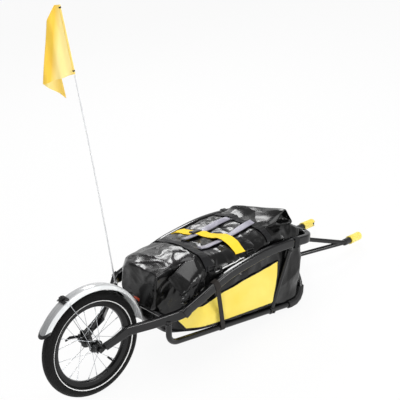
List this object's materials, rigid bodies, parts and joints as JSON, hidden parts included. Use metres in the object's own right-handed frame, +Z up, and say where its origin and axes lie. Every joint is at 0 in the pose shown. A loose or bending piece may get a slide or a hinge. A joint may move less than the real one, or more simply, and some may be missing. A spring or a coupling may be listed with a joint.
{
  "type": "single wheel touring trailer",
  "caption": "Bicycle touring trailer: a packed bag in a tubular cradle behind a steering hitch yoke, with a rear wheel, fender and a flag on a tall pole.",
  "frame": {"origin": "bottom centre of the bounding box, on the ground that the tyre and the two front feet stand on", "axes": "+X forwards to the hitch, +Y to the trailer's left, +Z up, with the trailer unhitched and tipped nose down onto its feet"},
  "size_m": [1.5474, 0.4248, 1.3487],
  "materials": {
    "frame": "satin",
    "tyre": "matte",
    "rubber": "matte",
    "rim": "satin",
    "alloy": "satin",
    "steel": "satin",
    "fender": "satin",
    "black_plastic": "satin",
    "yellow_plastic": "satin",
    "tarpaulin": "satin",
    "yellow_panel": "satin",
    "webbing": "matte",
    "yellow_webbing": "matte",
    "reflective_fabric": "satin",
    "flag_cloth": "matte",
    "fibreglass": "satin"
  },
  "bodies": {
    "frame": {"foot_right": "rubber", "foot_left": "rubber", "axle": "steel", "skewer_rod": "steel", "pivot_pin": "steel", "fender_stay_right": "steel", "fender_stay_left": "steel", "dropout_right": "frame", "dropout_left": "frame", "stay_right": "frame", "stay_left": "frame", "rail_right": "frame", "rail_left": "frame", "cradle_tube_right": "frame", "cradle_tube_left": "frame", "strut_right": "frame", "strut_left": "frame", "front_crossbar": "frame", "lower_bridge": "frame", "rear_bar": "frame", "floor_tube": "frame", "flag_socket": "frame", "skewer_nut": "black_plastic", "fender_tip": "black_plastic", "fender_clamp": "black_plastic", "fender": "fender", "bag_body": "tarpaulin", "bag_panel_right": "yellow_panel", "bag_panel_left": "yellow_panel", "bag_handle_right": "reflective_fabric", "bag_handle_left": "reflective_fabric", "side_strap_right": "webbing", "side_strap_left": "webbing", "bag_strap_rear": "webbing", "bag_strap_front": "yellow_webbing"},
    "wheel": {"tyre": "tyre", "inner_tube": "rubber", "rim": "rim", "hub_shell": "alloy", "hub_bearing_right": "steel", "hub_bearing_left": "steel", "spokes_right": "steel", "spokes_left": "steel", "valve": "steel"},
    "quick_release_lever": {"skewer_lever": "black_plastic"},
    "yoke": {"head_tube": "frame", "pivot_bush_upper": "black_plastic", "pivot_bush_lower": "black_plastic", "arm_upper_right": "frame", "arm_upper_left": "frame", "arm_lower_right": "frame", "arm_lower_left": "frame", "hitch_body_right": "black_plastic", "hitch_body_left": "black_plastic"},
    "sleeve_right": {"hitch_sleeve_right": "yellow_plastic"},
    "sleeve_left": {"hitch_sleeve_left": "yellow_plastic"},
    "flag_and_pole": {"flag_pole": "fibreglass", "flag": "flag_cloth", "flag_clip_upper": "black_plastic", "flag_clip_lower": "black_plastic"}
  },
  "joints": [
    {"name": "wheel_spin", "type": "hinge", "parent": "frame", "child": "wheel", "pos_m": [-0.57568, 0, 0.198], "axis": [0, 1, 0], "continuous": true},
    {"name": "lever_open", "type": "hinge", "parent": "frame", "child": "quick_release_lever", "pos_m": [-0.57568, 0.0703, 0.198], "axis": [-0.2048, 0, -0.9788], "range_deg": [0, 150]},
    {"name": "yoke_steer", "type": "hinge", "parent": "frame", "child": "yoke", "pos_m": [0.36549, 0, 0.15028], "axis": [0.2048, 0, 0.9788], "range_deg": [-70, 50]},
    {"name": "sleeve_right_slide", "type": "slide", "parent": "yoke", "child": "sleeve_right", "axis": [-0.9642, -0.1719, 0.2017], "range_m": [0, 0.022]},
    {"name": "sleeve_left_slide", "type": "slide", "parent": "yoke", "child": "sleeve_left", "axis": [-0.9642, -0.1719, 0.2017], "range_m": [0, 0.022]},
    {"name": "flag_lift", "type": "slide", "parent": "frame", "child": "flag_and_pole", "axis": [0.0138, 0, 0.9999], "range_m": [0, 0.035]}
  ]
}
